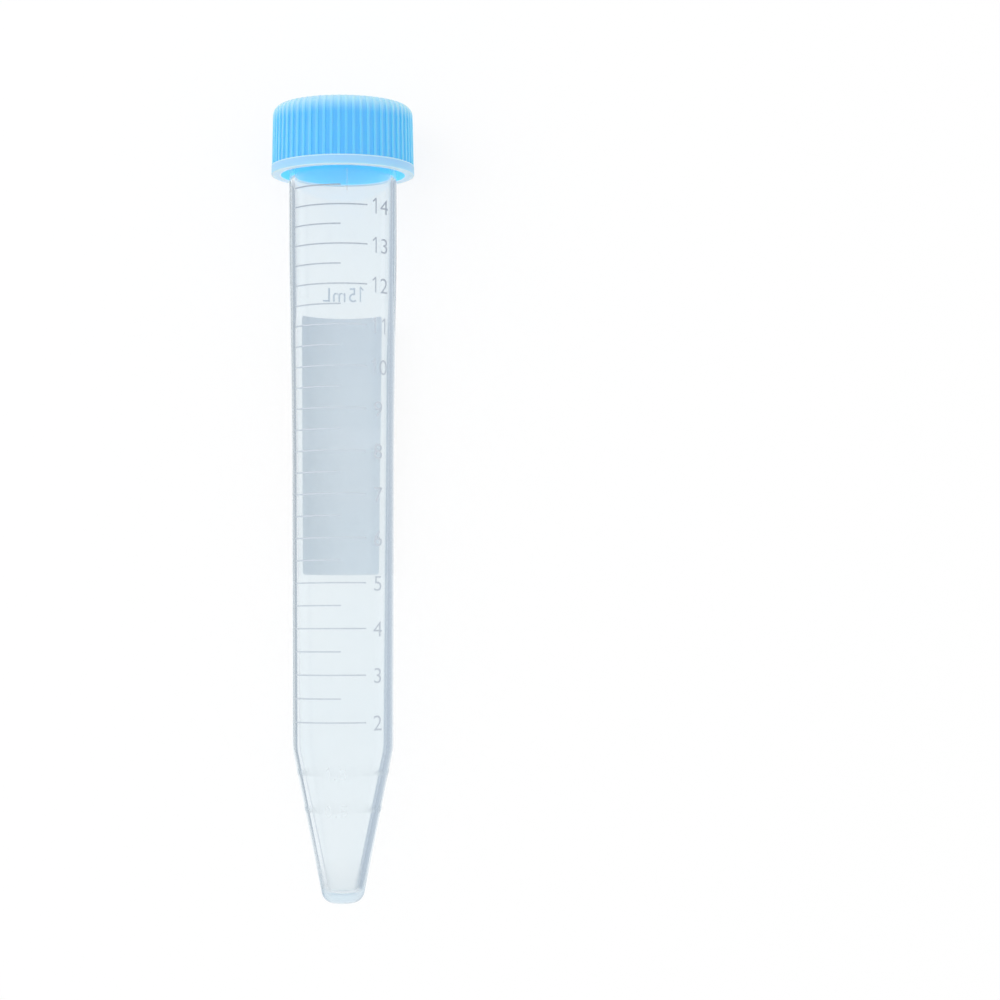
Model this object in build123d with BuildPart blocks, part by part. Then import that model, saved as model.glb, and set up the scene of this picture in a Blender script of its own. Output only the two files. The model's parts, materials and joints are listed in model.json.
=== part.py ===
"""A 15 ml conical centrifuge tube with its screw cap on, lying on its side.

Heights run along the tube's axis from the outside of its tip, and radii from
that axis. The tube rests on the edge of its cap and on the shoulder of its
cone, cap towards +Y. Millimetres, +Z up, origin under the middle of the whole.
"""

import os
from math import asin, atan, atan2, cos, hypot, pi, radians, sin, tan

from build123d import *

# Tube, outside: neck, straight collar, body in two tapers, cone and blunt tip
tube_length = 120.4
neck_radius = 8.04  # under the thread
collar_rise = 0.2  # the collar stands out from the neck
collar_length = 12.0
collar_gap = 0.1  # from the top of the collar up to the cap's rim
waist_height = 72.0  # the taper is steeper above it than below
shoulder_radius = 7.66
shoulder_height = 23.4
tip_radius = 2.9  # where the cone's side would meet the plane of the tip
tip_round = 2.0

# Tube, inside: the bore tapers evenly from the mouth to the shoulder
mouth_wall = 0.58
mouth_round = 0.2
waist_wall = 0.76
shoulder_wall = 1.03
tip_wall = 1.05
floor_thickness = 1.6
floor_round = 1.2

# Moulded rings round the cone, each at the level that a volume fills to
ring_volumes = (500.0, 1000.0)  # cubic millimetres
ring_height = 0.75
ring_rise = 0.12

# Cap: a ribbed skirt with a plain band at its rim, and a plug inside
cap_height = 10.7
cap_top = 1.3
thread_room = 1.46  # between the neck and the skirt, for the two threads
skirt_wall = 1.4  # at the rim, up to the ribs' crests
cap_draft = radians(1.1)
top_round = 1.5
band_height = 1.3
band_rise = 0.04
edge_round = 0.15
rib_count = 60
rib_width = 0.45
rib_depth = 0.22
plug_length = 2.6
plug_wall = 0.8
plug_clearance = 0.12

# Worked-out heights of the cap, and sizes of the tube
cap_end = tube_length + cap_top
cap_rim = cap_end - cap_height
collar_top = cap_rim - collar_gap
collar_radius = neck_radius + collar_rise
mouth_radius = neck_radius - mouth_wall
shoulder_bore = shoulder_radius - shoulder_wall
bore_taper = (mouth_radius - shoulder_bore) / (tube_length - shoulder_height)
waist_radius = shoulder_bore + bore_taper * (waist_height - shoulder_height) + waist_wall
cone_taper = (shoulder_radius - tip_radius) / shoulder_height
floor_radius = tip_radius + cone_taper * floor_thickness - tip_wall
inner_cone_taper = (shoulder_bore - floor_radius) / (shoulder_height - floor_thickness)
tip_flat = tip_radius - tip_round * tan((pi / 2 - atan(cone_taper)) / 2)

# Worked-out sizes of the cap
skirt_bore = neck_radius + thread_room
crest_radius = skirt_bore + skirt_wall
crest_end_radius = crest_radius - cap_height * tan(cap_draft)
band_radius = crest_radius + band_rise
plug_radius = mouth_radius - bore_taper * plug_length - plug_clearance

# How it lies: one straight line touches the shoulder and the cap's rounded edge
run = cap_rim + edge_round - shoulder_height
rise = band_radius - edge_round - shoulder_radius
lean = atan2(rise, run) + asin(edge_round / hypot(run, rise))
tip_reach = tip_flat * sin(lean) + tip_round * (1 - cos(lean))
cap_reach = (
    (cap_end - top_round) * cos(lean)
    + (crest_end_radius - top_round) * sin(lean)
    + top_round
)
tip_point = Vector(
    0,
    (tip_reach - cap_reach) / 2,
    shoulder_radius * cos(lean) - shoulder_height * sin(lean),
)
along = Vector(0, cos(lean), sin(lean))
tube_axis = Axis(tip_point, along)
tip_plane = Plane(tip_point, x_dir=(1, 0, 0), z_dir=along)

# The plane through the axis that sections are drawn on: x is a radius, y a height
section_plane = Plane(tip_point, x_dir=(1, 0, 0), z_dir=(0, -sin(lean), cos(lean)))


def corner(sketch, radius, height):
    """The corner of a section nearest to a radius and height."""
    return sketch.vertices().sort_by_distance((radius, height, 0))[0]


def cone_radius(height):
    """The outside of the cone at a height."""
    return tip_radius + cone_taper * height


def fill_height(volume):
    """The height that a volume fills the cone to."""
    cube = floor_radius**3 + 3 * inner_cone_taper * volume / pi
    return floor_thickness + (cube ** (1 / 3) - floor_radius) / inner_cone_taper


# The tube: one moulding, revolved from its wall's section
with BuildPart() as tube:
    with BuildSketch(section_plane) as wall:
        with BuildLine():
            Polyline(
                (0, floor_thickness),
                (0, 0),
                (tip_radius, 0),
                (shoulder_radius, shoulder_height),
                (waist_radius, waist_height),
                (collar_radius, collar_top - collar_length),
                (collar_radius, collar_top),
                (neck_radius, collar_top),
                (neck_radius, tube_length),
                (mouth_radius, tube_length),
                (shoulder_bore, shoulder_height),
                (floor_radius, floor_thickness),
                close=True,
            )
        make_face()
        fillet(corner(wall, tip_radius, 0), tip_round)
        fillet(corner(wall, floor_radius, floor_thickness), floor_round)
        fillet(corner(wall, neck_radius, tube_length), mouth_round)
        fillet(corner(wall, mouth_radius, tube_length), mouth_round)
    revolve(axis=tube_axis)

    for volume in ring_volumes:
        low = fill_height(volume) - ring_height / 2
        high = low + ring_height
        with BuildSketch(section_plane):
            with BuildLine():
                Polyline(
                    (cone_radius(low) - tip_wall / 2, low),
                    (cone_radius(low) + ring_rise, low),
                    (cone_radius(high) + ring_rise, high),
                    (cone_radius(high) - tip_wall / 2, high),
                    close=True,
                )
            make_face()
        revolve(axis=tube_axis)

# One rib of the cap, upright at the origin: it follows the skirt up and over the top's edge
rib_root = skirt_bore + (skirt_wall - rib_depth) / 2
with BuildPart() as rib:
    with BuildSketch(Plane.XZ) as rib_side:
        with BuildLine():
            Polyline(
                (rib_root, cap_rim + band_height / 2),
                (crest_radius - band_height / 2 * tan(cap_draft), cap_rim + band_height / 2),
                (crest_end_radius, cap_end),
                (crest_end_radius - 2 * top_round, cap_end),
                (crest_end_radius - 2 * top_round, tube_length + cap_top / 2),
                (rib_root, tube_length + cap_top / 2),
                close=True,
            )
        make_face()
        fillet(corner(rib_side, crest_end_radius, cap_end), top_round)
    extrude(amount=rib_width / 2, both=True)

# The cap: its shell stands in from the ribs' crests, then ribs and band are added
with BuildPart(tip_plane) as cap:
    with BuildSketch(section_plane) as shell:
        with BuildLine():
            Polyline(
                (0, cap_end),
                (crest_end_radius - rib_depth, cap_end),
                (crest_radius - rib_depth, cap_rim),
                (skirt_bore, cap_rim),
                (skirt_bore, tube_length),
                (plug_radius, tube_length),
                (plug_radius, tube_length - plug_length),
                (plug_radius - plug_wall, tube_length - plug_length),
                (plug_radius - plug_wall, tube_length),
                (0, tube_length),
                close=True,
            )
        make_face()
        fillet(corner(shell, crest_end_radius - rib_depth, cap_end), top_round)
    revolve(axis=tube_axis)

    with PolarLocations(0, rib_count):
        add(rib.part)

    with BuildSketch(section_plane) as band:
        with BuildLine():
            Polyline(
                (rib_root, cap_rim),
                (band_radius, cap_rim),
                (band_radius, cap_rim + band_height - band_rise),
                (crest_radius - rib_depth, cap_rim + band_height),
                (rib_root, cap_rim + band_height),
                close=True,
            )
        make_face()
        fillet(corner(band, band_radius, cap_rim), edge_round)
    revolve(axis=tube_axis)

tube.part.label = "tube"
cap.part.label = "cap"

os.makedirs("parts", exist_ok=True)
export_step(tube.part, "parts/tube.step")
export_step(cap.part, "parts/cap.step")
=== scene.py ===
import json
from math import asin, atan, atan2, ceil, cos, hypot, pi, radians, sin, tan

import bpy
from mathutils import Matrix, Vector


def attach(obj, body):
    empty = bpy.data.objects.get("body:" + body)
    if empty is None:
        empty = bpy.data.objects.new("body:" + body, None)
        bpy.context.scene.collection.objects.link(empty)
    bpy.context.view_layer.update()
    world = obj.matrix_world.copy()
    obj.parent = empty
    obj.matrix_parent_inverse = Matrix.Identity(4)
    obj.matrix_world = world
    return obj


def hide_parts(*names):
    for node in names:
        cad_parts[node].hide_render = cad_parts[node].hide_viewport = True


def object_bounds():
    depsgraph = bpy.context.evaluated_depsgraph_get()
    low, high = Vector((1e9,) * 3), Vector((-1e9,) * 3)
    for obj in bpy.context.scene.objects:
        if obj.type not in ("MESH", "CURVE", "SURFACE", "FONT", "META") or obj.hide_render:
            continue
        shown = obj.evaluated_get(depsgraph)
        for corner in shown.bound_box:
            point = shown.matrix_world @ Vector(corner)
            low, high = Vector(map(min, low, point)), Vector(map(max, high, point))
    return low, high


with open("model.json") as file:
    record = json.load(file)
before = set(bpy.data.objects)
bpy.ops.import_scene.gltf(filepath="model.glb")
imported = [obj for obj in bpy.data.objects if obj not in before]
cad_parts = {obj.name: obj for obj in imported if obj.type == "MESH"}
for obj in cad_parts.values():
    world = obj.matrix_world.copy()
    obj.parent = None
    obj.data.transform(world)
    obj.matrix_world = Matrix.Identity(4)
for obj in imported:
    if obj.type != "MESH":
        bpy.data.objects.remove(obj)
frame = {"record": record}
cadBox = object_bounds()

# Screw-cap conical tube, lying down. Every piece is modelled upright: tip at the
# origin, cap at the top, printed scale facing -Y. layDown() then turns it to where
# the frame has the tube. Sizes in the dictionaries are millimetres.
mm = 0.001
tolerance = 0.001  # millimetres, where a vertex or a face is told by its place

tubeSizes = {
    "length": 120.4,
    "neckRadius": 8.04,
    "neckEase": 2.6,  # the collar slopes in to the neck over this much
    "collarRadius": 8.24,
    "collarLow": 98.9,
    "collarHigh": 110.9,
    "waistRadius": 7.806,
    "waistHeight": 72.0,
    "shoulderRadius": 7.66,
    "shoulderHeight": 23.4,
    "tipRadius": 2.9,  # where the cone's side would meet the tip's plane
    "tipRound": 2.0,
    "shoulderReach": 0.8,  # how far each corner's rounding reaches along the walls
    "waistReach": 3.0,
    "collarReach": 2.0,
    "neckReach": 0.3,
    "boreReach": 0.9,
    "mouthRadius": 7.46,
    "mouthRound": 0.2,
    "boreRadius": 6.63,  # inside, at the shoulder
    "floorRadius": 2.175,
    "floorHeight": 1.6,
    "floorRound": 1.2,
    "ringVolumes": (0.5, 1.0),  # ml, where the rings stand round the cone
    "ringHalf": 0.5,  # half of each ring's width
    "ringRise": 0.04,
    "ringSteps": 4,  # mesh rings from the middle of each to its edge
    "plainNeck": 0.4,  # no thread on this much of the neck, from its ease up
    "plainMouth": 0.8,  # nor on this much below the mouth
    "middle": 0.5,  # radius of the mesh's first and last ring
    "longest": 6,  # between two of its rings
    "segments": 192,
    "smoothAngle": 80,  # degrees
}

capSizes = {
    "rim": 111.0,
    "end": 121.7,
    "crestRadius": 10.9,  # of the ribs, at the rim
    "draft": radians(1.1),
    "ribDepth": 0.16,
    "ribCount": 60,
    "stepsPerRib": 8,
    "ribSteps": 3,  # of those, the rib's own width
    "ribEdge": 0.05,
    "draftMiddle": 0.1,  # the draft brings the middle of the ribs in by this
    "cornerRound": 1.5,
    "bandRadius": 10.94,
    "bandHeight": 1.5,
    "boreRadius": 9.5,
    "plugRadius": 7.32,
    "plugWall": 0.8,
    "plugLength": 2.6,
    "gateRadius": 0.8,  # the small recess that moulding leaves in the middle of the top
    "gateDepth": 0.12,
    "fineReach": 0.05,  # how far each corner's rounding reaches along the walls
    "outerReach": 0.15,  # at the outer edge of the rim and of the plug
    "innerReach": 0.1,  # and at their inner edge
    "bandSlope": 0.1,  # the band's top slopes out over this much
    "topMiddle": 0.3,  # radius of the mesh's first ring
    "roofMiddle": 1.0,  # and of its last
    "longest": 3,  # between two of its rings
    "longestOnSide": 2.2,
    "smoothAngle": 45,  # degrees
    "roofGap": 0.02,  # between the tube's mouth and the inside of the top
    "plainRim": 1.0,  # no thread on this much of the skirt's inside, from the rim up
    "plainRoof": 0.1,  # nor on this much below the roof
}

threadSizes = {
    "pitch": 2.6,
    "crest": 0.5,  # width of the ridge at its top
    "base": 1.8,  # and at its foot
    "fade": radians(25),  # how far round each of its ends fades in
    "start": 114.9,  # height of the tube's own thread; the cap's is half a pitch up
    "tubeTurns": 1.3,
    "tubeDepth": 1.08,
    "capTurns": 1.1,
    "capDepth": 1.0,
    "tubeStep": 0.17,  # between the mesh's rings where the thread is
    "capStep": 0.24,
}

mounts = {m["name"]: m for m in frame["record"]["mounts"]}
tubeAxis = Vector(mounts["cap_top"]["axis"]).normalized()
tipPoint = Vector(mounts["cap_top"]["pos_m"]) - tubeAxis * capSizes["end"] * mm
lean = asin(tubeAxis.z)
layMatrix = Matrix.Translation(tipPoint) @ Matrix.Rotation(lean - pi / 2, 4, "X")

coneSlope = (tubeSizes["shoulderRadius"] - tubeSizes["tipRadius"]) / tubeSizes["shoulderHeight"]
boreSlope = (tubeSizes["mouthRadius"] - tubeSizes["boreRadius"]) / (
    tubeSizes["length"] - tubeSizes["shoulderHeight"]
)
innerSlope = (tubeSizes["boreRadius"] - tubeSizes["floorRadius"]) / (
    tubeSizes["shoulderHeight"] - tubeSizes["floorHeight"]
)


def between(a, b, share):
    return a + (b - a) * share


def outerRadius(height):
    s = tubeSizes
    if height < s["shoulderHeight"]:
        return s["tipRadius"] + coneSlope * height
    if height < s["waistHeight"]:
        share = (height - s["shoulderHeight"]) / (s["waistHeight"] - s["shoulderHeight"])
        return between(s["shoulderRadius"], s["waistRadius"], share)
    share = min(1, (height - s["waistHeight"]) / (s["collarLow"] - s["waistHeight"]))
    return between(s["waistRadius"], s["collarRadius"], share)


def fillHeight(millilitres):
    # the level that a volume stands at: a cone with a flat end, and the long bore above it
    s = tubeSizes
    coneVolume = pi / (3 * innerSlope) * (s["boreRadius"] ** 3 - s["floorRadius"] ** 3)
    volume = millilitres * 1000
    if volume < coneVolume:
        cube = s["floorRadius"] ** 3 + 3 * innerSlope * volume / pi
        return s["floorHeight"] + (cube ** (1 / 3) - s["floorRadius"]) / innerSlope
    cube = s["boreRadius"] ** 3 + 3 * boreSlope * (volume - coneVolume) / pi
    return s["shoulderHeight"] + (cube ** (1 / 3) - s["boreRadius"]) / boreSlope


def deselectAll():
    bpy.ops.object.select_all(action="DESELECT")


def turned(name, outline, segments):
    # a circle at the outline's first point, drawn on ring by ring and closed at its end
    deselectAll()
    radius, height = outline[0]
    bpy.ops.mesh.primitive_circle_add(
        vertices=segments, radius=radius * mm, location=(0, 0, height * mm), fill_type="TRIFAN"
    )
    piece = bpy.context.object
    piece.name = name
    bpy.ops.object.transform_apply(location=True, rotation=True, scale=True)
    bpy.ops.object.mode_set(mode="EDIT")
    bpy.ops.mesh.select_mode(type="EDGE")
    bpy.ops.mesh.select_all(action="SELECT")
    bpy.ops.mesh.region_to_loop()
    for nextRadius, nextHeight in outline[1:]:
        scale = nextRadius / radius
        bpy.ops.mesh.extrude_region_move(
            TRANSFORM_OT_translate={"value": (0, 0, (nextHeight - height) * mm)}
        )
        bpy.ops.transform.resize(value=(scale, scale, 1), center_override=(0, 0, 0))
        radius, height = nextRadius, nextHeight
    bpy.ops.mesh.extrude_region_move()
    bpy.ops.mesh.merge(type="CENTER")
    bpy.ops.mesh.select_all(action="SELECT")
    bpy.ops.mesh.normals_make_consistent(inside=False)
    bpy.ops.object.mode_set(mode="OBJECT")
    return piece


roundings = {
    "sharpSteps": 8,  # in the arc of a corner
    "bluntSteps": 4,  # in one that turns by less than 60 degrees
    "flank": 0.3,  # how far from the arc the ring beside it stands
}


def softened(corners, longest):
    # rings of an outline from (radius, height, reach) corners: a corner is rounded as far as it
    # reaches, with one more ring beside it so that the long walls stay flat in the light
    points = []
    for i, (radius, height, reach) in enumerate(corners):
        here = Vector((radius, height))
        turn = [here]
        if reach:
            back = (Vector(corners[i - 1][:2]) - here).normalized()
            on = (Vector(corners[i + 1][:2]) - here).normalized()
            half = back.angle(on) / 2
            start, end = here + back * reach, here + on * reach
            centre = here + (back + on).normalized() * reach / cos(half)
            steps = roundings["sharpSteps"] if half < pi / 3 else roundings["bluntSteps"]
            first, last = (start - centre).normalized(), (end - centre).normalized()
            bend = reach * tan(half)
            turn = [centre + first.slerp(last, n / steps) * bend for n in range(steps + 1)]
            flank = min(roundings["flank"], reach / 4)
            turn = [start + back * flank] + turn + [end + on * flank]
        if points:
            cuts = max(1, ceil((turn[0] - points[-1]).length / longest))
            points += [points[-1].lerp(turn[0], n / cuts) for n in range(1, cuts)]
        points += turn
    return [tuple(point) for point in points]


def ridgeHeight(x, y, height, start, turns):
    # how much of a right-hand screw ridge stands at a place on the wall, from 0 to 1
    t = threadSizes
    angle = atan2(y, x) % (2 * pi)
    best = 0
    while angle <= turns * 2 * pi:
        away = abs(height - start - t["pitch"] * angle / (2 * pi))
        share = (t["base"] / 2 - away) / (t["base"] / 2 - t["crest"] / 2)
        share = min(1, max(0, share))
        fade = min(1, angle / t["fade"], (turns * 2 * pi - angle) / t["fade"])
        best = max(best, share * share * (3 - 2 * share) * fade)
        angle += 2 * pi
    return best


def applyModifiers(piece):
    bpy.context.view_layer.objects.active = piece
    for modifier in list(piece.modifiers):
        bpy.ops.object.modifier_apply(modifier=modifier.name)


def layDown(piece, body, angle):
    # smooth, then turned to where the tube lies, with its place in its mesh
    deselectAll()
    piece.select_set(True)
    bpy.context.view_layer.objects.active = piece
    bpy.ops.object.shade_smooth_by_angle(angle=radians(angle))
    piece.matrix_world = layMatrix
    bpy.ops.object.transform_apply(location=True, rotation=True, scale=True)
    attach(piece, body)
    print("made", piece.name, len(piece.data.polygons), "faces")
    return piece


def toLinear(hexColour):
    values = [int(hexColour[i : i + 2], 16) / 255 for i in (1, 3, 5)]
    return [v / 12.92 if v <= 0.04045 else ((v + 0.055) / 1.055) ** 2.4 for v in values] + [1]


def addNode(tree, kind, links=None, **settings):
    # settings are the node's own, or an input's by its name; links feed inputs
    node = tree.nodes.new(kind)
    inputs = settings.pop("inputs", {})
    for name, value in settings.items():
        setattr(node, name, value)
    for name, value in inputs.items():
        node.inputs[name].default_value = value
    for name, source in (links or {}).items():
        tree.links.new(source, node.inputs[name])
    return node


def newMaterial(name):
    material = bpy.data.materials.new(name)
    material.use_nodes = True
    material.node_tree.nodes.clear()
    return material


def heightAlong(tree):
    # millimetres from the tip, along the tube
    place = addNode(tree, "ShaderNodeTexCoord")
    dot = addNode(
        tree, "ShaderNodeVectorMath", {0: place.outputs["Object"]}, operation="DOT_PRODUCT",
        inputs={1: tubeAxis / mm},
    )
    offset = addNode(
        tree, "ShaderNodeMath", {0: dot.outputs["Value"]}, operation="SUBTRACT",
        inputs={1: tubeAxis.dot(tipPoint) / mm},
    )
    return offset.outputs[0]


def within(tree, value, low, high, soft):
    # 1 where a value lies between two others, fading to 0 over soft beyond them
    shifted = addNode(
        tree, "ShaderNodeMath", {0: value}, operation="SUBTRACT", inputs={1: (low + high) / 2}
    )
    away = addNode(tree, "ShaderNodeMath", {0: shifted.outputs[0]}, operation="ABSOLUTE")
    half = (high - low) / 2
    mask = addNode(
        tree, "ShaderNodeMapRange", {"Value": away.outputs[0]}, interpolation_type="SMOOTHSTEP",
        inputs={"From Min": half, "From Max": half + soft, "To Min": 1.0, "To Max": 0.0},
    )
    return mask.outputs[0]


def layered(tree, shown, layers):
    # colours laid over one another in turn, each where its mask says so
    for mask, hexColour in layers:
        mixed = addNode(
            tree, "ShaderNodeMix", {"Factor": mask, 6: shown}, data_type="RGBA",
            inputs={7: toLinear(hexColour)},
        )
        shown = mixed.outputs[2]
    return shown


polypropyleneLook = {
    "hexClear": "#FBFCFC",
    "hexDense": "#F8FBFC",
    "hexInside": "#50C4EE",
    "density": 46,  # per metre
    "ior": 1.49,
    "roughness": 0.05,
    "ringRoughness": 0.2,
    "ringFade": 0.3,
    "tipRoughness": 0.24,
    "tipFrostLow": 2.5,
    "tipFrostFade": 6.0,
    "flowSize": 9.0,  # drift of the melt along the wall
    "rippleSize": 3.5,
    "rippleHeight": 0.002,
    "mostReflections": 3.5,  # in the wall, before light passes straight through
}


def makePolypropylene():
    # natural polypropylene, moulded on a polished core: clear, a little blue and faintly wavy,
    # and frosted where the mould was blasted, at the rings and the tip
    look, s = polypropyleneLook, tubeSizes
    material = newMaterial("clearPolypropylene")
    tree = material.node_tree
    place = addNode(tree, "ShaderNodeTexCoord").outputs["Object"]
    height = heightAlong(tree)
    flow = addNode(
        tree, "ShaderNodeTexNoise", {"Vector": place},
        inputs={"Scale": 1 / (look["flowSize"] * mm), "Detail": 3.0},
    )
    tint = addNode(
        tree, "ShaderNodeMix", {"Factor": flow.outputs["Fac"]}, data_type="RGBA",
        inputs={6: toLinear(look["hexClear"]), 7: toLinear(look["hexDense"])},
    )
    rings = []
    for volume in s["ringVolumes"]:
        middle, half = fillHeight(volume), s["ringHalf"] / 2
        rings.append(within(tree, height, middle - half, middle + half, look["ringFade"]))
    onRing = addNode(tree, "ShaderNodeMath", {0: rings[0], 1: rings[1]}, operation="MAXIMUM")
    tip = within(tree, height, -1, look["tipFrostLow"], look["tipFrostFade"])
    ringFrost = addNode(
        tree, "ShaderNodeMapRange", {"Value": onRing.outputs[0]},
        inputs={"To Min": look["roughness"], "To Max": look["ringRoughness"]},
    )
    tipFrost = addNode(
        tree, "ShaderNodeMapRange", {"Value": tip},
        inputs={"To Min": look["roughness"], "To Max": look["tipRoughness"]},
    )
    frost = addNode(
        tree, "ShaderNodeMath", {0: ringFrost.outputs[0], 1: tipFrost.outputs[0]},
        operation="MAXIMUM",
    )
    ripple = addNode(
        tree, "ShaderNodeTexNoise", {"Vector": place},
        inputs={"Scale": 1 / (look["rippleSize"] * mm), "Detail": 2.0},
    )
    bump = addNode(
        tree, "ShaderNodeBump", {"Height": ripple.outputs["Fac"]},
        inputs={"Strength": 1.0, "Distance": look["rippleHeight"] * mm},
    )
    plastic = addNode(
        tree, "ShaderNodeBsdfPrincipled",
        {
            "Base Color": tint.outputs[2], "Roughness": frost.outputs[0],
            "Normal": bump.outputs[0],
        },
        inputs={"IOR": look["ior"], "Transmission Weight": 1.0},
    )
    through = addNode(tree, "ShaderNodeBsdfTransparent", inputs={"Color": (1, 1, 1, 1)})
    rays = addNode(tree, "ShaderNodeLightPath").outputs
    caught = addNode(  # light that is caught in the wall leaves it, so that it never turns black
        tree, "ShaderNodeMath", {0: rays["Glossy Depth"]}, operation="GREATER_THAN",
        inputs={1: look["mostReflections"]},
    )
    passing = caught.outputs[0]
    for kind in ("Is Diffuse Ray", "Is Shadow Ray"):
        either = addNode(tree, "ShaderNodeMath", {0: rays[kind], 1: passing}, operation="MAXIMUM")
        passing = either.outputs[0]
    surface = addNode(
        tree, "ShaderNodeMixShader", {0: passing, 1: plastic.outputs[0], 2: through.outputs[0]}
    )
    depth = addNode(
        tree, "ShaderNodeVolumeAbsorption",
        inputs={"Color": toLinear(look["hexInside"]), "Density": look["density"]},
    )
    addNode(
        tree, "ShaderNodeOutputMaterial",
        {"Surface": surface.outputs[0], "Volume": depth.outputs[0]},
    )
    return material


frostLook = {
    "hexFrost": "#F4FAFF",
    "cover": 0.1,  # share of the wall that the haze hides
    "uneven": 0.2,  # share by which the cover drifts
    "grainSize": 0.5,
    "roughness": 0.5,
}


def makeFrost():
    # raised mould marks in the same plastic: a faint white haze on a clear wall
    look = frostLook
    material = newMaterial("frostedPolypropylene")
    tree = material.node_tree
    place = addNode(tree, "ShaderNodeTexCoord").outputs["Object"]
    grain = addNode(
        tree, "ShaderNodeTexNoise", {"Vector": place},
        inputs={"Scale": 1 / (look["grainSize"] * mm), "Detail": 2.0},
    )
    cover = addNode(
        tree, "ShaderNodeMapRange", {"Value": grain.outputs["Fac"]},
        inputs={
            "To Min": look["cover"] * (1 - look["uneven"]),
            "To Max": look["cover"] * (1 + look["uneven"]),
        },
    )
    clear = addNode(tree, "ShaderNodeBsdfTransparent", inputs={"Color": (1, 1, 1, 1)})
    haze = addNode(
        tree, "ShaderNodeBsdfPrincipled",
        inputs={
            "Base Color": toLinear(look["hexFrost"]), "Roughness": look["roughness"],
            "IOR": polypropyleneLook["ior"],
        },
    )
    mixed = addNode(
        tree, "ShaderNodeMixShader", {0: cover.outputs[0], 1: clear.outputs[0], 2: haze.outputs[0]}
    )
    addNode(tree, "ShaderNodeOutputMaterial", {"Surface": mixed.outputs[0]})
    return material


patchSizes = {
    "leftLow": radians(-50),  # round from the middle of the back
    "leftHigh": radians(-53.5),
    "rightLow": radians(68.5),
    "rightHigh": radians(66),
    "low": 49.8,
    "high": 89.9,
    "corner": 0.6,
    "labelHeight": 2.36,
    "labelAcross": 0.29,
    "labelLevel": 93.7,
    "paleLeft": -5.75,  # where the scale crosses in front of the patch, its lines are painted paler: painted light, as white ink lit from the front looks against the patch
    "paleRight": 5.75,
    "paleLow": fillHeight(5) + 1.0,
    "paleHigh": fillHeight(11) + 1.4,
}

inkLook = {
    "hexLow": "#BDC8D3",
    "hexHigh": "#97A3B3",
    # painted light, where the lines cross in front of the patch
    "hexPale": "#CCD5DF",
    "hexThin": "#EDF2F6",
    "hexPatchLow": "#EAEBEE",
    "hexPatchHigh": "#DFDDE0",
    "hexLabel": "#C4CCD5",
    "fadeLow": 78.0,  # the ink is paler below, and darkest at the top of the scale
    "fadeHigh": 108.0,
    "paleFade": 0.1,
    "speckSize": 0.35,
    "speckShare": 0.25,
    "grainHeight": 0.01,
    "roughness": 0.6,
    "ior": 1.5,
}


def makeInk(name, hexLow, hexHigh, crossing=False):
    # screen-printed white ink: matt, a little uneven in its cover, paler towards the tip. Its greys
    # are painted shade, as white ink looks against the bright light behind the tube
    look, p = inkLook, patchSizes
    material = newMaterial(name)
    tree = material.node_tree
    place = addNode(tree, "ShaderNodeTexCoord").outputs["Object"]
    height = heightAlong(tree)
    rise = addNode(
        tree, "ShaderNodeMapRange", {"Value": height},
        inputs={"From Min": look["fadeLow"], "From Max": look["fadeHigh"]},
    )
    colour = addNode(
        tree, "ShaderNodeMix", {"Factor": rise.outputs[0]}, data_type="RGBA",
        inputs={6: toLinear(hexLow), 7: toLinear(hexHigh)},
    )
    speck = addNode(
        tree, "ShaderNodeTexNoise", {"Vector": place},
        inputs={"Scale": 1 / (look["speckSize"] * mm), "Detail": 4.0},
    )
    cover = addNode(
        tree, "ShaderNodeMapRange", {"Value": speck.outputs["Fac"]},
        inputs={"From Min": 0.3, "From Max": 0.7, "To Min": 0.0, "To Max": look["speckShare"]},
    )
    layers = [(cover.outputs[0], look["hexThin"])]
    # painted light: the scale's lines are paler where they cross in front of the patch
    if crossing:
        across = addNode(tree, "ShaderNodeSeparateXYZ", {0: place}).outputs[0]
        fade = look["paleFade"]
        sideways = within(tree, across, p["paleLeft"] * mm, p["paleRight"] * mm, fade * mm)
        along = within(tree, height, p["paleLow"], p["paleHigh"], fade)
        pale = addNode(tree, "ShaderNodeMath", {0: sideways, 1: along}, operation="MULTIPLY")
        layers.append((pale.outputs[0], look["hexPale"]))
    shown = layered(tree, colour.outputs[2], layers)
    grain = addNode(
        tree, "ShaderNodeBump", {"Height": speck.outputs["Fac"]},
        inputs={"Strength": 0.5, "Distance": look["grainHeight"] * mm},
    )
    ink = addNode(
        tree, "ShaderNodeBsdfPrincipled", {"Base Color": shown, "Normal": grain.outputs[0]},
        inputs={"Roughness": look["roughness"], "IOR": look["ior"]},
    )
    addNode(tree, "ShaderNodeOutputMaterial", {"Surface": ink.outputs[0]})
    return material


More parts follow.
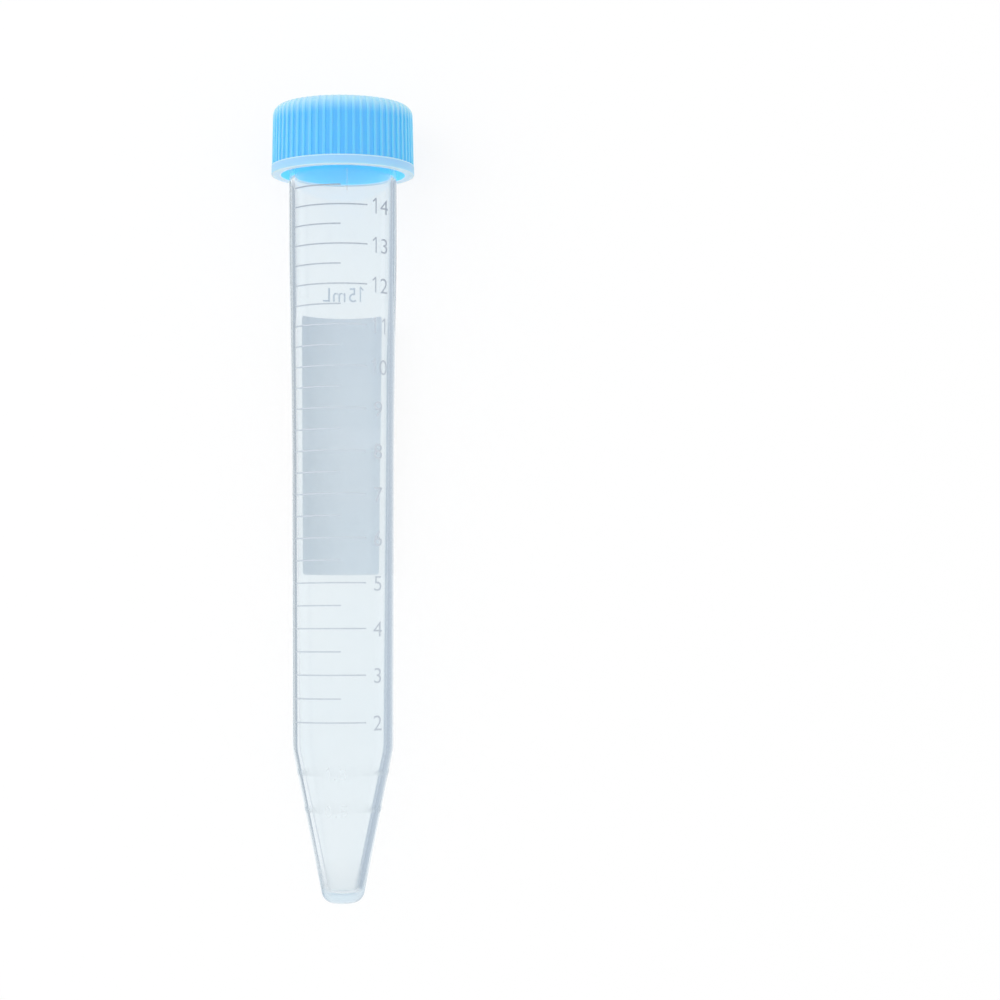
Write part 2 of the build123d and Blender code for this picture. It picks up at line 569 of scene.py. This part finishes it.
polyethyleneLook = {
    "hexValley": "#66C8FF",
    "hexPaler": "#6CCAFF",
    # painted highlight along the ribs' crests
    "hexCrestHighlight": "#70CBFF",
    # painted highlight on the top's rounded edge, where it catches the light
    "hexTopHighlight": "#B4E2FF",
    "hexBand": "#A6D4F6",
    "hexLineHighlight": "#CBEBFF",  # painted highlight along the band's top and the rim's inner edge
    "hexRim": "#D2E8FC",
    # painted highlight along the rim's inner edge
    "hexRimEdgeHighlight": "#E2F2FF",
    # the inside is painted paler, as light that comes through the skirt's wall
    "hexInside": "#90E4FF",
    "hexPaintedGlow": "#52B0F0",  # painted glow, for the light that comes through the skirt's wall
    "glow": 0.34,
    "roughness": 0.42,
    "uneven": 0.05,  # how far the roughness drifts either way
    "specular": 0.25,
    "subsurface": 0.9,
    "subsurfaceRadius": (0.6, 0.8, 1.0),  # shares of subsurfaceScale
    "subsurfaceScale": 2.0,
    "mottleSize": 2.2,
    "grainSize": 0.12,
    "grainHeight": 0.004,
    "ior": 1.5,
    "topHighlight": 0.2,  # the painted highlight on the top's edge is full in this much, and fades out over topFade
    "topFade": 2.7,
    "lineHeight": 0.2,
    "rimEdgeWidth": 0.2,
    "soft": 0.1,  # how far the other colours fade into each other
    "sharp": 0.05,
    "hair": 0.02,  # keeps a surface clear of the place where a colour starts to fade
}


def makePolyethylene():
    # sky-blue moulded polyethylene: satin. Painted highlights make the ribs' crests, the top's
    # edge, the band's top and the rim's inner edge paler; the inside is painted paler, with a
    # painted glow, for the light that comes through the skirt's wall; the band and the rim are
    # paler too
    look, cap = polyethyleneLook, capSizes
    soft, sharp, hair = look["soft"], look["sharp"], look["hair"]
    material = newMaterial("bluePolyethylene")
    material.cycles.emission_sampling = "NONE"  # its glow is too faint to count as a lamp
    tree = material.node_tree
    place = addNode(tree, "ShaderNodeTexCoord").outputs["Object"]
    height = heightAlong(tree)
    upright = addNode(
        tree, "ShaderNodeMapping", {"Vector": place}, vector_type="TEXTURE",
        inputs={"Location": tipPoint, "Rotation": (lean - pi / 2, 0, 0)},
    )
    flat = addNode(
        tree, "ShaderNodeVectorMath", {0: upright.outputs[0]}, operation="MULTIPLY",
        inputs={1: (1 / mm, 1 / mm, 0)},
    )
    length = addNode(tree, "ShaderNodeVectorMath", {0: flat.outputs[0]}, operation="LENGTH")
    radius = length.outputs["Value"]
    drafted = addNode(
        tree, "ShaderNodeMath", {0: height, 2: radius}, operation="MULTIPLY_ADD",
        inputs={1: tan(cap["draft"])},
    )
    # painted highlight: the outer part of each rib is paler
    crestPlace = cap["crestRadius"] + cap["rim"] * tan(cap["draft"])
    crest = addNode(
        tree, "ShaderNodeMapRange", {"Value": drafted.outputs[0]},
        inputs={"From Min": crestPlace - cap["ribDepth"], "From Max": crestPlace},
    )
    mottle = addNode(
        tree, "ShaderNodeTexNoise", {"Vector": place},
        inputs={"Scale": 1 / (look["mottleSize"] * mm), "Detail": 3.0},
    )
    valley = addNode(
        tree, "ShaderNodeMix", {"Factor": mottle.outputs["Fac"]}, data_type="RGBA",
        inputs={6: toLinear(look["hexValley"]), 7: toLinear(look["hexPaler"])},
    )
    bandTop = cap["rim"] + cap["bandHeight"]
    # painted highlights: the top's edge, the band's top and the rim's inner edge
    top = within(tree, height, cap["end"] - look["topHighlight"], cap["end"] + 1, look["topFade"])
    band = within(tree, height, 0, bandTop - sharp, sharp)
    bandHighlight = within(tree, height, bandTop - look["lineHeight"], bandTop - hair, sharp)
    isInside = within(tree, radius, 0, cap["boreRadius"] + hair, 2 * hair)
    isLow = within(tree, height, 0, cap["end"] - cap["cornerRound"], soft)
    inner = addNode(tree, "ShaderNodeMath", {0: isInside, 1: isLow}, operation="MULTIPLY")
    # painted highlight: a narrow strip of the rim beside the bore
    rim = within(tree, height, 0, cap["rim"] + hair, soft)
    isNarrow = within(tree, radius, 0, cap["boreRadius"] + look["rimEdgeWidth"], soft)
    rimEdge = addNode(tree, "ShaderNodeMath", {0: rim, 1: isNarrow}, operation="MULTIPLY")
    shown = layered(
        tree, valley.outputs[2],
        [
            (crest.outputs[0], look["hexCrestHighlight"]),
            (top, look["hexTopHighlight"]),
            (band, look["hexBand"]),
            (bandHighlight, look["hexLineHighlight"]),
            (inner.outputs[0], look["hexInside"]),
            (rim, look["hexRim"]),
            (rimEdge.outputs[0], look["hexRimEdgeHighlight"]),
        ],
    )
    # painted glow: the inside gives off a faint light, for the light that comes through the skirt's
    # wall
    glow = addNode(
        tree, "ShaderNodeMix", {"Factor": inner.outputs[0]}, data_type="RGBA",
        inputs={6: (0, 0, 0, 1), 7: toLinear(look["hexPaintedGlow"])},
    )
    grain = addNode(
        tree, "ShaderNodeTexNoise", {"Vector": place},
        inputs={"Scale": 1 / (look["grainSize"] * mm), "Detail": 2.0},
    )
    satin = addNode(
        tree, "ShaderNodeMapRange", {"Value": mottle.outputs["Fac"]},
        inputs={
            "To Min": look["roughness"] - look["uneven"],
            "To Max": look["roughness"] + look["uneven"],
        },
    )
    bump = addNode(
        tree, "ShaderNodeBump", {"Height": grain.outputs["Fac"]},
        inputs={"Strength": 0.6, "Distance": look["grainHeight"] * mm},
    )
    plastic = addNode(
        tree, "ShaderNodeBsdfPrincipled",
        {
            "Base Color": shown, "Roughness": satin.outputs[0], "Normal": bump.outputs[0],
            "Emission Color": glow.outputs[2],
        },
        inputs={
            "IOR": look["ior"], "Specular IOR Level": look["specular"],
            "Subsurface Weight": look["subsurface"],
            "Subsurface Radius": look["subsurfaceRadius"],
            "Subsurface Scale": look["subsurfaceScale"] * mm, "Emission Strength": look["glow"],
        },
    )
    addNode(tree, "ShaderNodeOutputMaterial", {"Surface": plastic.outputs[0]})
    return material


def makeTubeShell(material):
    # one closed shell, outside and inside: a radius, a height and a rounding's reach at each corner
    s, t = tubeSizes, threadSizes
    coneAngle, innerAngle = atan(coneSlope), atan(innerSlope)
    threadLow = s["collarHigh"] + s["neckEase"] + s["plainNeck"]
    threadHigh = s["length"] - s["plainMouth"]
    outside = [
        (s["middle"], 0, 0),
        (s["tipRadius"], 0, s["tipRound"] * tan((pi / 2 - coneAngle) / 2)),
    ]
    for volume in s["ringVolumes"]:  # the moulded rings round the cone, each a low swell
        for step in range(-s["ringSteps"], s["ringSteps"] + 1):
            share = step / s["ringSteps"]
            height = fillHeight(volume) + s["ringHalf"] * share
            swell = s["ringRise"] * (1 + cos(pi * share)) / 2
            outside.append((outerRadius(height) + swell, height, 0))
    outside += [
        (s["shoulderRadius"], s["shoulderHeight"], s["shoulderReach"]),
        (s["waistRadius"], s["waistHeight"], s["waistReach"]),
        (s["collarRadius"], s["collarLow"], s["collarReach"]),
        (s["collarRadius"], s["collarHigh"], s["neckReach"]),
        (s["neckRadius"], s["collarHigh"] + s["neckEase"], s["neckReach"]),
        (s["neckRadius"], threadLow, 0),
    ]
    threaded = softened([outside[-1], (s["neckRadius"], threadHigh, 0)], t["tubeStep"])
    inside = [
        (s["neckRadius"], threadHigh, 0),
        (s["neckRadius"], s["length"], s["mouthRound"]),
        (s["mouthRadius"], s["length"], s["mouthRound"]),
        (s["boreRadius"], s["shoulderHeight"], s["boreReach"]),
        (s["floorRadius"], s["floorHeight"], s["floorRound"] * tan((pi / 2 - innerAngle) / 2)),
        (s["middle"], s["floorHeight"], 0),
    ]
    outline = softened(outside, s["longest"]) + threaded[1:-1] + softened(inside, s["longest"])
    shell = turned("tubeShell", outline, s["segments"])
    for vertex in shell.data.vertices:
        x, y, z = vertex.co / mm
        across = hypot(x, y)
        if threadLow < z < threadHigh and across > s["neckRadius"] - tolerance:
            out = ridgeHeight(x, y, z, t["start"], t["tubeTurns"]) * t["tubeDepth"]
            vertex.co.x *= (across + out) / across
            vertex.co.y *= (across + out) / across
    shell.data.materials.append(material)
    layDown(shell, "tube_body", s["smoothAngle"])
    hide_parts("tube")
    return shell


scaleSizes = {
    "leftAside": 6.95,  # how far to the left of the middle every line starts
    "longRight": radians(30),  # round the tube from the front
    "shortRight": radians(1.0),
    "lineWidth": 0.2,
    "inkThickness": 0.025,
    "lift": 0.004,
    "lowest": 2,
    "highest": 14.5,
    "numeralHeight": 2.4,
    "numeralMiddle": radians(46),
    "numeralPitch": 2.0,
    "numeralStretch": 1.2,
    "stroke": 0.21,
    "smoothAngle": 60,  # degrees
}


def wrapOnTube(piece, lift):
    # bends a flat drawing in the XZ plane round the tube: x is the way round, in metres
    for vertex in piece.data.vertices:
        radius = outerRadius(vertex.co.z / mm) * mm
        angle = vertex.co.x / radius
        out = radius + lift * mm - vertex.co.y
        vertex.co = (out * sin(angle), -out * cos(angle), vertex.co.z)


def turnToBack(piece):
    # half way round the tube, as arc length at the piece's own height
    for vertex in piece.data.vertices:
        vertex.co.x += pi * outerRadius(vertex.co.z / mm) * mm


def printed(name, parts, material):
    # joins flat drawings, wraps them on the tube and gives them the ink's thickness
    deselectAll()
    for part in parts:
        part.select_set(True)
    bpy.context.view_layer.objects.active = parts[0]
    if len(parts) > 1:
        bpy.ops.object.join()
    piece = bpy.context.object
    piece.name = name
    wrapOnTube(piece, scaleSizes["lift"])
    layer = piece.modifiers.new("ink", "SOLIDIFY")
    layer.thickness = scaleSizes["inkThickness"] * mm
    layer.offset = 1
    applyModifiers(piece)
    piece.data.materials.clear()
    piece.data.materials.append(material)
    return layDown(piece, "tube_body", scaleSizes["smoothAngle"])


def flatBar(across, level, width, height, turn=0.0, cuts=1):
    # a bar in the XZ plane, cut up along its width so that it can bend round the tube
    deselectAll()
    bpy.ops.mesh.primitive_grid_add(
        x_subdivisions=cuts, y_subdivisions=1, size=1,
        location=(across * mm, 0, level * mm), rotation=(pi / 2, turn, 0),
    )
    bar = bpy.context.object
    bar.scale = (width * mm, height * mm, 1)
    bpy.ops.object.transform_apply(location=True, rotation=True, scale=True)
    return bar


def makeScaleLines(material):
    p = scaleSizes
    parts = []
    for i in range(int((p["highest"] - p["lowest"]) * 2) + 1):
        height = fillHeight(p["lowest"] + i / 2)
        right = p["longRight"] if i % 2 == 0 else p["shortRight"]
        radius = outerRadius(height)
        left = -asin(p["leftAside"] / radius)
        width = (right - left) * radius
        middle = (right + left) / 2 * radius
        parts.append(flatBar(middle, height, width, p["lineWidth"], cuts=28))
    return printed("scaleLines", parts, material)


characterSizes = {
    "widths": {"1": 0.62, "m": 1.12, "L": 0.7, ".": 0.4},  # shares of a numeral's height
    "otherWidth": 0.78,
    "numeralShare": 0.729,  # a numeral's height, as a share of the font's size
    "thinning": 0.02,  # taken off each side of a stroke
    "strip": 0.3,  # width of the strips that a character is cut into
    "stemAside": 0.1,  # of the "1", as shares of its height
    "flagAside": -0.02,
    "flagRise": 0.36,
    "flagLength": 0.32,
    "flagTurn": radians(-42),
}


def drawnOne(across, level, height):
    # a "1" with a flag: a plain stem, and a short bar that slants down to the left
    c, stroke = characterSizes, scaleSizes["stroke"]
    stem = flatBar(across + c["stemAside"] * height, level, stroke, height)
    flag = flatBar(
        across + c["flagAside"] * height, level + c["flagRise"] * height,
        c["flagLength"] * height, stroke, c["flagTurn"],
    )
    return [stem, flag]


def drawnCharacter(character, across, level, height, stretch):
    # a character as a mesh in the XZ plane, cut in strips so that it can bend round the tube
    if character == "1":
        return drawnOne(across, level, height)
    deselectAll()
    bpy.ops.object.text_add()
    text = bpy.context.object
    text.data.body = character
    text.data.size = height * mm / characterSizes["numeralShare"]
    text.data.offset = -characterSizes["thinning"] * mm
    text.data.align_x = "CENTER"
    bpy.ops.object.convert(target="MESH")
    piece = bpy.context.object
    piece.rotation_euler = (pi / 2, 0, 0)
    piece.location = (across * mm, 0, (level - height / 2) * mm)
    piece.scale = (stretch, 1, 1)
    bpy.ops.object.transform_apply(location=True, rotation=True, scale=True)
    bpy.ops.object.mode_set(mode="EDIT")
    xs = [vertex.co.x for vertex in piece.data.vertices]
    strip = characterSizes["strip"] * mm
    for i in range(1, ceil((max(xs) - min(xs)) / strip)):
        bpy.ops.mesh.select_all(action="SELECT")
        bpy.ops.mesh.bisect(plane_co=(min(xs) + i * strip, 0, 0), plane_no=(1, 0, 0))
    bpy.ops.object.mode_set(mode="OBJECT")
    return [piece]


def drawnWords(words, middle, level, height, pitch=None, stretch=1.0):
    # characters side by side about a middle, at an even pitch or at their own widths
    c = characterSizes
    widths = [pitch or c["widths"].get(letter, c["otherWidth"]) * height for letter in words]
    across = middle - sum(widths) / 2
    parts = []
    for character, width in zip(words, widths):
        parts += drawnCharacter(character, across + width / 2, level, height, stretch)
        across += width
    return parts


def makeScaleNumerals(material):
    p = scaleSizes
    parts = []
    for millilitres in range(2, 15):
        level = fillHeight(millilitres)
        middle = p["numeralMiddle"] * outerRadius(level)
        parts += drawnWords(
            str(millilitres), middle, level, p["numeralHeight"], p["numeralPitch"],
            p["numeralStretch"],
        )
    return printed("scaleNumerals", parts, material)


def makeWritingPatch(material):
    # a rounded panel: a grid whose corner vertices are drawn in to arcs
    p = patchSizes
    middle = (p["low"] + p["high"]) / 2
    halfHeight = (p["high"] - p["low"]) / 2
    patch = flatBar(0, middle, 1, 2 * halfHeight, cuts=40)
    cuts = (0.1, 0.3, 0.6, 1.0)  # shares of a corner
    levels = [p["low"] + p["corner"] * cut for cut in cuts]
    levels += [p["high"] - p["corner"] * cut for cut in cuts]
    levels += [between(p["low"], p["high"], i / 8) for i in range(1, 8)]
    bpy.ops.object.mode_set(mode="EDIT")
    for level in levels:
        bpy.ops.mesh.select_all(action="SELECT")
        bpy.ops.mesh.bisect(plane_co=(0, 0, level * mm), plane_no=(0, 0, 1))
    bpy.ops.object.mode_set(mode="OBJECT")
    for vertex in patch.data.vertices:
        height = vertex.co.z / mm
        radius = outerRadius(height)
        intoCorner = max(0, abs(height - middle) - (halfHeight - p["corner"])) / p["corner"]
        shorter = p["corner"] * (1 - (1 - min(1, intoCorner) ** 2) ** 0.5)
        share = (height - p["low"]) / (2 * halfHeight)
        left = between(p["leftLow"], p["leftHigh"], share) * radius
        right = between(p["rightLow"], p["rightHigh"], share) * radius
        across, halfWidth = (right + left) / 2, (right - left) / 2
        vertex.co.x = (across + vertex.co.x / mm * 2 * (halfWidth - shorter)) * mm
    turnToBack(patch)
    return printed("writingPatch", [patch], material)


def makeVolumeLabel(material):
    p = patchSizes
    parts = drawnWords("15mL", p["labelAcross"], p["labelLevel"], p["labelHeight"])
    for part in parts:
        turnToBack(part)
    return printed("volumeLabel", parts, material)


markSizes = {
    "height": 2.0,
    "across": -0.7,
    "wholeLevel": 19.8,
    "halfLevel": 14.2,
    "partingAngle": radians(7.7),
    "partingWidth": 0.16,
    "partingLow": 107.4,
    "partingHigh": 110.8,
}


def makeMouldMarks(material):
    # the two volumes that stand raised by the cone's rings, and the mould's parting line
    p = markSizes
    parts = drawnWords("1.0", p["across"], p["wholeLevel"], p["height"])
    parts += drawnWords("0.5", p["across"], p["halfLevel"], p["height"])
    middle = (p["partingLow"] + p["partingHigh"]) / 2
    across = p["partingAngle"] * outerRadius(middle)
    parts.append(flatBar(across, middle, p["partingWidth"], p["partingHigh"] - p["partingLow"]))
    return printed("mouldMarks", parts, material)


def makeCapShell(material):
    # one closed shell, from the middle of the top over the skirt and back to the roof, and its ribs
    c, t = capSizes, threadSizes
    rim, end, slope = c["rim"], c["end"], tan(c["draft"])
    rootRadius = c["crestRadius"] - c["ribDepth"]
    bandTop = rim + c["bandHeight"]
    cornerRadius = rootRadius - (end - rim) * slope - c["cornerRound"]
    roof = tubeSizes["length"] + c["roofGap"]
    threadLow, threadHigh = rim + c["plainRim"], roof - c["plainRoof"]
    plugEnd = roof - c["plugLength"]
    plugInside = c["plugRadius"] - c["plugWall"]
    cornerReach = c["cornerRound"] * tan((pi / 2 - c["draft"]) / 2)
    top = [
        (c["topMiddle"], end - c["gateDepth"], 0),
        (c["gateRadius"], end - c["gateDepth"], c["fineReach"]),
        (c["gateRadius"], end, c["fineReach"]),
        (rootRadius - (end - rim) * slope, end, cornerReach),
        (rootRadius - c["bandHeight"] * slope, bandTop, 0),
    ]
    below = [
        (rootRadius - c["bandHeight"] * slope, bandTop, 0),
        (c["bandRadius"], bandTop - c["bandSlope"], c["fineReach"]),
        (c["bandRadius"], rim, c["outerReach"]),
        (c["boreRadius"], rim, c["innerReach"]),
        (c["boreRadius"], threadLow, 0),
    ]
    threaded = softened([below[-1], (c["boreRadius"], threadHigh, 0)], t["capStep"])
    inside = [
        (c["boreRadius"], threadHigh, 0),
        (c["boreRadius"], roof, c["fineReach"]),
        (c["plugRadius"], roof, c["fineReach"]),
        (c["plugRadius"], plugEnd, c["outerReach"]),
        (plugInside, plugEnd, c["innerReach"]),
        (plugInside, roof, c["fineReach"]),
        (c["roofMiddle"], roof, 0),
    ]
    outline = softened(top, c["longestOnSide"]) + softened(below, c["longest"])[1:]
    outline += threaded[1:-1] + softened(inside, c["longest"])
    segments = c["ribCount"] * c["stepsPerRib"]
    shell = turned("capShell", outline, segments)

    # the ribs: some columns of the side's faces are drawn out, and run on over the top's corner
    step = 2 * pi / segments
    wallMiddle = (c["boreRadius"] + rootRadius) / 2
    bpy.ops.object.mode_set(mode="EDIT")
    bpy.ops.mesh.select_mode(type="FACE")
    bpy.ops.mesh.select_all(action="DESELECT")
    bpy.ops.object.mode_set(mode="OBJECT")
    for face in shell.data.polygons:
        x, y, z = face.center / mm
        onSide = hypot(x, y) > (wallMiddle if z < roof + c["fineReach"] else cornerRadius)
        column = int((atan2(y, x) % (2 * pi)) / step) % c["stepsPerRib"]
        face.select = onSide and bandTop < z < end - tolerance and column < c["ribSteps"]
    bpy.ops.object.mode_set(mode="EDIT")
    bpy.ops.mesh.extrude_region_move()
    grow = 1 + c["ribDepth"] / (rootRadius - c["draftMiddle"])
    bpy.ops.transform.resize(value=(grow, grow, 1), center_override=(0, 0, 0))
    bpy.ops.mesh.select_all(action="SELECT")
    bpy.ops.mesh.remove_doubles(threshold=tolerance * mm)
    bpy.ops.mesh.normals_make_consistent(inside=False)
    bpy.ops.transform.rotate(
        value=step * c["ribSteps"] / 2, orient_axis="Z", center_override=(0, 0, 0)
    )
    bpy.ops.object.mode_set(mode="OBJECT")
    soften = shell.modifiers.new("moulded edges", "BEVEL")
    soften.width = c["ribEdge"] * mm
    soften.segments = 2
    soften.limit_method = "ANGLE"
    soften.angle_limit = radians(50)
    applyModifiers(shell)
    for vertex in shell.data.vertices:
        x, y, z = vertex.co / mm
        across = hypot(x, y)
        if threadLow < z < threadHigh and abs(across - c["boreRadius"]) < tolerance:
            start = t["start"] + t["pitch"] / 2
            into = ridgeHeight(x, y, z, start, t["capTurns"]) * t["capDepth"]
            vertex.co.x *= (across - into) / across
            vertex.co.y *= (across - into) / across
    shell.data.materials.append(material)
    layDown(shell, "cap_body", c["smoothAngle"])
    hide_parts("cap")
    return shell


cameraSettings = {
    "aside": 23.97,  # millimetres from the tube's tip, across the tube
    "along": 40.32,  # and along it
    "above": 400.0,
    "tilt": 0.0518,  # radians, as the roll is
    "roll": -0.0034,
    "lens": 94.42,
}


def makeCamera():
    # above the tube, looking down square to its axis but for a small tilt
    c = cameraSettings
    upward = Vector((0, -sin(lean), cos(lean)))
    camera = bpy.data.objects.new("camera", bpy.data.cameras.new("camera"))
    bpy.context.scene.collection.objects.link(camera)
    away = Vector((c["aside"], 0, 0)) + tubeAxis * c["along"] + upward * c["above"]
    turn = Matrix.Rotation(lean + c["tilt"], 4, "X") @ Matrix.Rotation(c["roll"], 4, "Z")
    camera.matrix_world = Matrix.Translation(tipPoint + away * mm) @ turn
    camera.data.sensor_width = 36
    camera.data.lens = c["lens"]
    camera.data.clip_start, camera.data.clip_end = 0.01, 20
    bpy.context.scene.camera = camera
    print("made camera")


# Dark and grey cards on the floor beside the tube, as painted shade: sheets that glow a fixed grey,
# hidden from the camera and from shadows, that only the tube's wall shows, through it or mirrored.
# Each has its side, the rays it shows to, and where it starts and ends beyond the tube's side at
# some heights along it. Those are for where the tube's axis is cardLevel above the floor, and they
# grow with its height.
cardLevel = 8.0
cardLift = 0.01
edgeShadeCards = {
    "leftThrough": {
        "side": -1, "through": True, "hex": "#C8CED6",
        "edges": {
            -3: (3.2, 6), 23: (4.6, 8.4), 90: (5, 9), 96: (5.3, 16), 103: (5.6, 26),
            113: (5.6, 26),
        },
    },
    "leftMirrored": {
        "side": -1, "through": False, "hex": "#20242A",
        "edges": {-3: (7, 16), 20: (7, 16), 25: (4.5, 17), 90: (4.5, 17), 113: (3, 17)},
    },
    "rightThrough": {
        "side": 1, "through": True, "hex": "#BCC6D2",
        "edges": {-3: (0.8, 20), 84: (1.0, 20), 96: (2.6, 22), 113: (2.6, 22)},
    },
    "rightMirrored": {
        "side": 1, "through": False, "hex": "#8A929C",
        "edges": {88: (2, 2.5), 98: (1.5, 8), 113: (1.5, 8)},
    },
}


def makeEdgeCards():
    # painted shade: the tube's clear wall shows them as the darker lines along its sides
    for name, card in edgeShadeCards.items():
        material = newMaterial(name + "Card")
        grey = addNode(
            material.node_tree, "ShaderNodeEmission", inputs={"Color": toLinear(card["hex"])}
        )
        addNode(material.node_tree, "ShaderNodeOutputMaterial", {"Surface": grey.outputs[0]})
        heights = sorted(card["edges"])
        low, high = heights[0], heights[-1]
        deselectAll()
        bpy.ops.mesh.primitive_grid_add(x_subdivisions=1, y_subdivisions=48, size=1)
        sheet = bpy.context.object
        sheet.name = name + "Card"
        for vertex in sheet.data.vertices:
            height = between(low, high, vertex.co.y + 0.5)
            after = next((h for h in heights[1:] if height <= h), high)
            before = heights[heights.index(after) - 1]
            share = (height - before) / (after - before)
            which = 0 if vertex.co.x < 0 else 1
            beyond = between(card["edges"][before][which], card["edges"][after][which], share)
            place = tipPoint + tubeAxis * height * mm
            out = outerRadius(max(0, height)) + beyond * place.z / (cardLevel * mm)
            vertex.co = (card["side"] * out * mm, place.y, cardLift * mm)
        sheet.data.materials.append(material)
        sheet.visible_camera = sheet.visible_diffuse = sheet.visible_shadow = False
        sheet.visible_glossy = not card["through"]
        sheet.visible_transmission = card["through"]
    print("made", len(edgeShadeCards), "cards")


studioSettings = {
    "floorSize": 4.0,  # metres, as the lamp's sizes are
    "floorDrop": 0.02,  # millimetres below the lowest point, so that the two don't share a face
    "floorGlow": 0.8,
    "roomStrength": 0.9,
    "lampPlace": (-0.45, 0.15, 0.75),
    "lampSize": (0.5, 0.7),
    "lampPower": 1.2,
}


def makeStudio():
    # a white floor that keeps the shadow, a white room and one soft lamp
    s = studioSettings
    deselectAll()
    level = cadBox[0].z - s["floorDrop"] * mm
    bpy.ops.mesh.primitive_plane_add(size=s["floorSize"], location=(0, 0, level))
    floor = bpy.context.object
    floor.name = "floor"
    material = newMaterial("whitePaper")
    tree = material.node_tree
    paper = addNode(tree, "ShaderNodeBsdfDiffuse", inputs={"Color": toLinear("#FFFFFF")})
    glow = addNode(tree, "ShaderNodeEmission", inputs={"Color": (1, 1, 1, 1), "Strength": 1.0})
    rays = addNode(tree, "ShaderNodeLightPath").outputs
    seen = rays["Is Camera Ray"]
    for kind in ("Is Glossy Ray", "Is Transmission Ray"):
        either = addNode(tree, "ShaderNodeMath", {0: seen, 1: rays[kind]}, operation="MAXIMUM")
        seen = either.outputs[0]
    share = addNode(
        tree, "ShaderNodeMath", {0: seen}, operation="MULTIPLY", inputs={1: s["floorGlow"]}
    )
    mixed = addNode(
        tree, "ShaderNodeMixShader", {0: share.outputs[0], 1: paper.outputs[0], 2: glow.outputs[0]}
    )
    addNode(tree, "ShaderNodeOutputMaterial", {"Surface": mixed.outputs[0]})
    floor.data.materials.append(material)

    world = bpy.data.worlds.new("room")
    bpy.context.scene.world = world
    world.use_nodes = True
    tree = world.node_tree
    tree.nodes.clear()
    room = addNode(
        tree, "ShaderNodeBackground", inputs={"Color": (1, 1, 1, 1), "Strength": s["roomStrength"]}
    )
    white = addNode(tree, "ShaderNodeBackground", inputs={"Color": (1, 1, 1, 1), "Strength": 1.0})
    rays = addNode(tree, "ShaderNodeLightPath")
    mixed = addNode(
        tree, "ShaderNodeMixShader",
        {0: rays.outputs["Is Camera Ray"], 1: room.outputs[0], 2: white.outputs[0]},
    )
    addNode(tree, "ShaderNodeOutputWorld", {"Surface": mixed.outputs[0]})

    lamp = bpy.data.objects.new("softbox", bpy.data.lights.new("softbox", "AREA"))
    bpy.context.scene.collection.objects.link(lamp)
    lamp.data.shape = "RECTANGLE"
    lamp.data.size, lamp.data.size_y = s["lampSize"]
    lamp.data.energy = s["lampPower"]
    lamp.visible_glossy = lamp.visible_transmission = False
    lamp.location = s["lampPlace"]
    lamp.rotation_euler = Vector(s["lampPlace"]).to_track_quat("Z", "Y").to_euler()
    print("made studio")


makeTubeShell(makePolypropylene())
scaleInk = makeInk("scaleInk", inkLook["hexLow"], inkLook["hexHigh"], crossing=True)
makeScaleLines(scaleInk)
makeScaleNumerals(scaleInk)
makeWritingPatch(makeInk("patchInk", inkLook["hexPatchLow"], inkLook["hexPatchHigh"]))
makeVolumeLabel(makeInk("labelInk", inkLook["hexLabel"], inkLook["hexLabel"]))
makeMouldMarks(makeFrost())
makeCapShell(makePolyethylene())
makeCamera()
makeStudio()
makeEdgeCards()
bpy.context.scene.view_settings.view_transform = "Standard"
